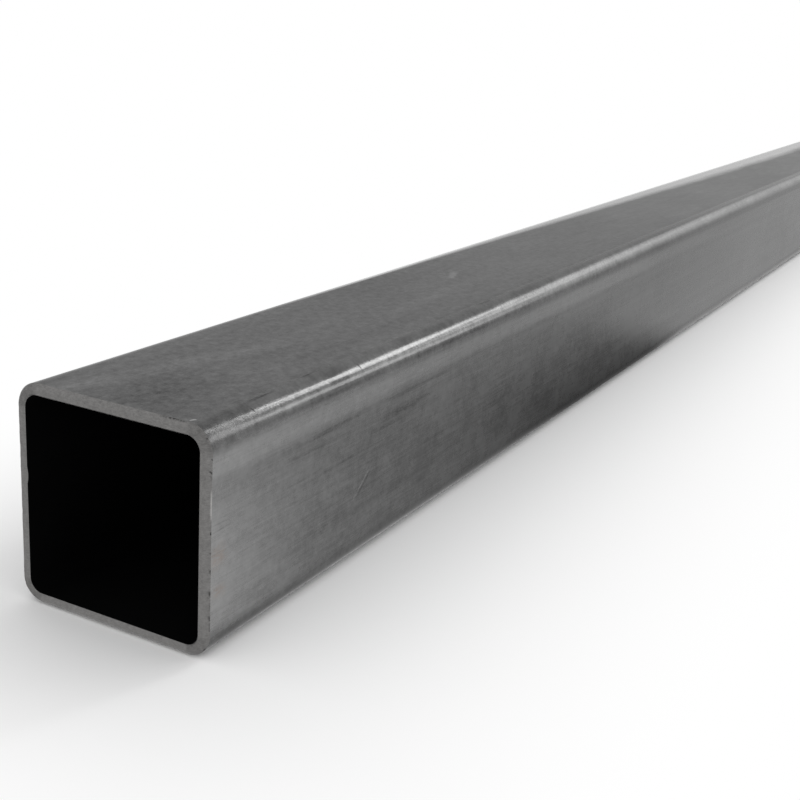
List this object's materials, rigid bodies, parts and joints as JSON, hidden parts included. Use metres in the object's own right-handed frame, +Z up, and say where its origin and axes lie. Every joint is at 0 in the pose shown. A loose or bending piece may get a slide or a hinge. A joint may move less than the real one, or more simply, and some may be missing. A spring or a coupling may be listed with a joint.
{
  "type": "square metal tube",
  "caption": "Straight length of square steel tube with rounded corners, an open bore and square-sawn ends, for frames, posts and brackets.",
  "frame": {"origin": "middle of the flat side that the tube lies on", "axes": "+X along the length to the far end, +Y across to the welded wall, +Z up from the side it lies on"},
  "size_m": [1, 0.04, 0.04],
  "materials": {
    "steel": "bare mill finish, cold formed and welded, with sawn ends"
  },
  "bodies": {
    "root": {"square_tube": "steel"}
  },
  "joints": []
}
